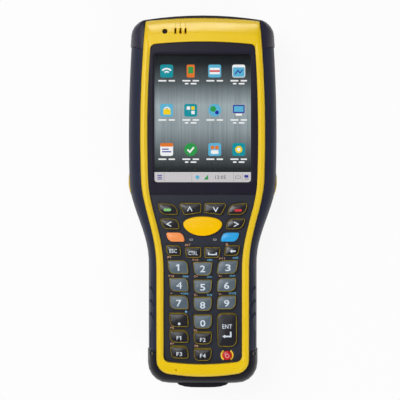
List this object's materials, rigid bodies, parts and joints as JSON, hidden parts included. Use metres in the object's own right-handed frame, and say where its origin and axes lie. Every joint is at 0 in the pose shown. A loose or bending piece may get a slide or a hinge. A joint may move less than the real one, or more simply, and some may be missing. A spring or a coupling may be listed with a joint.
{
  "type": "portable barcode data terminal",
  "caption": "Rugged handheld barcode terminal: touch screen and domed keypad in a yellow frame, rubber bumpers, scan window in the head, and a battery in the narrow grip.",
  "frame": {"origin": "on the resting plane, under the centre of the body's box", "axes": "+Z out of the screen, +Y along the body towards the scanning end, +X to the right of the screen"},
  "size_m": [0.0832, 0.207, 0.04],
  "materials": {
    "yellow_shell": "fine moulded satin",
    "overlay": "fine textured film",
    "bezel": "satin",
    "touch_glass": "polished",
    "gasket": "foam",
    "display": "glossy",
    "metal_frame": "die cast",
    "silicone": "matte",
    "circuit_board": "solder mask",
    "rear_shell": "spark-eroded matte",
    "screw_steel": "plated",
    "scan_glass": "polished",
    "engine_metal": "matte",
    "black_plastic": "matte",
    "light_pipe": "glossy",
    "grip_rubber": "soft satin",
    "bumper_rubber": "soft satin",
    "yellow_button": "satin",
    "battery_shell": "spark-eroded matte",
    "cover_plastic": "matte",
    "key_dark": "glossy",
    "key_slate": "glossy",
    "key_amber": "glossy",
    "key_orange": "glossy",
    "key_blue": "glossy",
    "key_power": "glossy"
  },
  "bodies": {
    "housing": {"front_housing": "yellow_shell", "keypad_overlay": "overlay", "display_bezel": "bezel", "touch_panel": "touch_glass", "display_gasket": "gasket", "lcd_module": "display", "mid_frame": "metal_frame", "keypad_membrane": "silicone", "keypad_board": "circuit_board", "main_board": "circuit_board", "rear_housing": "rear_shell", "housing_gasket": "gasket", "housing_screws": "screw_steel", "scan_window": "scan_glass", "scan_engine": "engine_metal", "speaker": "black_plastic", "status_led": "light_pipe", "dock_connector": "black_plastic", "side_grip_left": "grip_rubber", "side_grip_right": "grip_rubber", "top_bumper_left": "bumper_rubber", "top_bumper_right": "bumper_rubber", "bottom_bumper": "bumper_rubber", "trigger_switches": "black_plastic", "battery_contacts": "black_plastic"},
    "side_trigger_left": {"side_trigger_left": "yellow_button"},
    "side_trigger_right": {"side_trigger_right": "yellow_button"},
    "battery_pack": {"battery_pack": "battery_shell"},
    "battery_latch": {"battery_latch": "yellow_button"},
    "port_cover": {"port_cover": "cover_plastic"},
    "key_green": {"key_green": "key_dark"},
    "key_up": {"key_up": "key_dark"},
    "key_down": {"key_down": "key_dark"},
    "key_red": {"key_red": "key_dark"},
    "key_left": {"key_left": "key_dark"},
    "key_scan": {"key_scan": "key_amber"},
    "key_right": {"key_right": "key_dark"},
    "key_orange": {"key_orange": "key_orange"},
    "key_blue": {"key_blue": "key_blue"},
    "key_esc": {"key_esc": "key_dark"},
    "key_ctrl": {"key_ctrl": "key_dark"},
    "key_space": {"key_space": "key_dark"},
    "key_backspace": {"key_backspace": "key_dark"},
    "key_1": {"key_1": "key_slate"},
    "key_2": {"key_2": "key_slate"},
    "key_3": {"key_3": "key_slate"},
    "key_4": {"key_4": "key_slate"},
    "key_5": {"key_5": "key_slate"},
    "key_6": {"key_6": "key_slate"},
    "key_7": {"key_7": "key_slate"},
    "key_8": {"key_8": "key_slate"},
    "key_9": {"key_9": "key_slate"},
    "key_point": {"key_point": "key_dark"},
    "key_0": {"key_0": "key_slate"},
    "key_enter": {"key_enter": "key_dark"},
    "key_f1": {"key_f1": "key_dark"},
    "key_f2": {"key_f2": "key_dark"},
    "key_f3": {"key_f3": "key_dark"},
    "key_f4": {"key_f4": "key_dark"},
    "key_power": {"key_power": "key_power"}
  },
  "joints": [
    {"name": "press_side_trigger_left", "type": "slide", "parent": "housing", "child": "side_trigger_left", "axis": [1, 0, 0], "range_m": [0, 0.0005], "stiffness_N_per_m": 900, "springref_m": -0.0005},
    {"name": "press_side_trigger_right", "type": "slide", "parent": "housing", "child": "side_trigger_right", "axis": [-1, 0, 0], "range_m": [0, 0.0005], "stiffness_N_per_m": 900, "springref_m": -0.0005},
    {"name": "lift_battery", "type": "slide", "parent": "housing", "child": "battery_pack", "axis": [0, 0, -1], "range_m": [0, 0.024]},
    {"name": "slide_battery_latch", "type": "slide", "parent": "battery_pack", "child": "battery_latch", "axis": [0, 1, 0], "range_m": [0, 0.0025]},
    {"name": "open_port_cover", "type": "hinge", "parent": "housing", "child": "port_cover", "pos_m": [0, -0.1013, 0.0138], "axis": [1, 0, 0], "range_deg": [0, 110]},
    {"name": "press_key_green", "type": "slide", "parent": "housing", "child": "key_green", "axis": [0, 0, -1], "range_m": [0, 0.0008], "stiffness_N_per_m": 900, "springref_m": -0.0004},
    {"name": "press_key_up", "type": "slide", "parent": "housing", "child": "key_up", "axis": [0, 0, -1], "range_m": [0, 0.0008], "stiffness_N_per_m": 900, "springref_m": -0.0004},
    {"name": "press_key_down", "type": "slide", "parent": "housing", "child": "key_down", "axis": [0, 0, -1], "range_m": [0, 0.0008], "stiffness_N_per_m": 900, "springref_m": -0.0004},
    {"name": "press_key_red", "type": "slide", "parent": "housing", "child": "key_red", "axis": [0, 0, -1], "range_m": [0, 0.0008], "stiffness_N_per_m": 900, "springref_m": -0.0004},
    {"name": "press_key_left", "type": "slide", "parent": "housing", "child": "key_left", "axis": [0, 0, -1], "range_m": [0, 0.0008], "stiffness_N_per_m": 900, "springref_m": -0.0004},
    {"name": "press_key_scan", "type": "slide", "parent": "housing", "child": "key_scan", "axis": [0, 0, -1], "range_m": [0, 0.0008], "stiffness_N_per_m": 900, "springref_m": -0.0004},
    {"name": "press_key_right", "type": "slide", "parent": "housing", "child": "key_right", "axis": [0, 0, -1], "range_m": [0, 0.0008], "stiffness_N_per_m": 900, "springref_m": -0.0004},
    {"name": "press_key_orange", "type": "slide", "parent": "housing", "child": "key_orange", "axis": [0, 0, -1], "range_m": [0, 0.0008], "stiffness_N_per_m": 900, "springref_m": -0.0004},
    {"name": "press_key_blue", "type": "slide", "parent": "housing", "child": "key_blue", "axis": [0, 0, -1], "range_m": [0, 0.0008], "stiffness_N_per_m": 900, "springref_m": -0.0004},
    {"name": "press_key_esc", "type": "slide", "parent": "housing", "child": "key_esc", "axis": [0, 0, -1], "range_m": [0, 0.0008], "stiffness_N_per_m": 900, "springref_m": -0.0004},
    {"name": "press_key_ctrl", "type": "slide", "parent": "housing", "child": "key_ctrl", "axis": [0, 0, -1], "range_m": [0, 0.0008], "stiffness_N_per_m": 900, "springref_m": -0.0004},
    {"name": "press_key_space", "type": "slide", "parent": "housing", "child": "key_space", "axis": [0, 0, -1], "range_m": [0, 0.0008], "stiffness_N_per_m": 900, "springref_m": -0.0004},
    {"name": "press_key_backspace", "type": "slide", "parent": "housing", "child": "key_backspace", "axis": [0, 0, -1], "range_m": [0, 0.0008], "stiffness_N_per_m": 900, "springref_m": -0.0004},
    {"name": "press_key_1", "type": "slide", "parent": "housing", "child": "key_1", "axis": [0, 0, -1], "range_m": [0, 0.0008], "stiffness_N_per_m": 900, "springref_m": -0.0004},
    {"name": "press_key_2", "type": "slide", "parent": "housing", "child": "key_2", "axis": [0, 0, -1], "range_m": [0, 0.0008], "stiffness_N_per_m": 900, "springref_m": -0.0004},
    {"name": "press_key_3", "type": "slide", "parent": "housing", "child": "key_3", "axis": [0, 0, -1], "range_m": [0, 0.0008], "stiffness_N_per_m": 900, "springref_m": -0.0004},
    {"name": "press_key_4", "type": "slide", "parent": "housing", "child": "key_4", "axis": [0, 0, -1], "range_m": [0, 0.0008], "stiffness_N_per_m": 900, "springref_m": -0.0004},
    {"name": "press_key_5", "type": "slide", "parent": "housing", "child": "key_5", "axis": [0, 0, -1], "range_m": [0, 0.0008], "stiffness_N_per_m": 900, "springref_m": -0.0004},
    {"name": "press_key_6", "type": "slide", "parent": "housing", "child": "key_6", "axis": [0, 0, -1], "range_m": [0, 0.0008], "stiffness_N_per_m": 900, "springref_m": -0.0004},
    {"name": "press_key_7", "type": "slide", "parent": "housing", "child": "key_7", "axis": [0, 0, -1], "range_m": [0, 0.0008], "stiffness_N_per_m": 900, "springref_m": -0.0004},
    {"name": "press_key_8", "type": "slide", "parent": "housing", "child": "key_8", "axis": [0, 0, -1], "range_m": [0, 0.0008], "stiffness_N_per_m": 900, "springref_m": -0.0004},
    {"name": "press_key_9", "type": "slide", "parent": "housing", "child": "key_9", "axis": [0, 0, -1], "range_m": [0, 0.0008], "stiffness_N_per_m": 900, "springref_m": -0.0004},
    {"name": "press_key_point", "type": "slide", "parent": "housing", "child": "key_point", "axis": [0, 0, -1], "range_m": [0, 0.0008], "stiffness_N_per_m": 900, "springref_m": -0.0004},
    {"name": "press_key_0", "type": "slide", "parent": "housing", "child": "key_0", "axis": [0, 0, -1], "range_m": [0, 0.0008], "stiffness_N_per_m": 900, "springref_m": -0.0004},
    {"name": "press_key_enter", "type": "slide", "parent": "housing", "child": "key_enter", "axis": [0, 0, -1], "range_m": [0, 0.0008], "stiffness_N_per_m": 900, "springref_m": -0.0004},
    {"name": "press_key_f1", "type": "slide", "parent": "housing", "child": "key_f1", "axis": [0, 0, -1], "range_m": [0, 0.0008], "stiffness_N_per_m": 900, "springref_m": -0.0004},
    {"name": "press_key_f2", "type": "slide", "parent": "housing", "child": "key_f2", "axis": [0, 0, -1], "range_m": [0, 0.0008], "stiffness_N_per_m": 900, "springref_m": -0.0004},
    {"name": "press_key_f3", "type": "slide", "parent": "housing", "child": "key_f3", "axis": [0, 0, -1], "range_m": [0, 0.0008], "stiffness_N_per_m": 900, "springref_m": -0.0004},
    {"name": "press_key_f4", "type": "slide", "parent": "housing", "child": "key_f4", "axis": [0, 0, -1], "range_m": [0, 0.0008], "stiffness_N_per_m": 900, "springref_m": -0.0004},
    {"name": "press_key_power", "type": "slide", "parent": "housing", "child": "key_power", "axis": [0, 0, -1], "range_m": [0, 0.0008], "stiffness_N_per_m": 900, "springref_m": -0.0004}
  ]
}
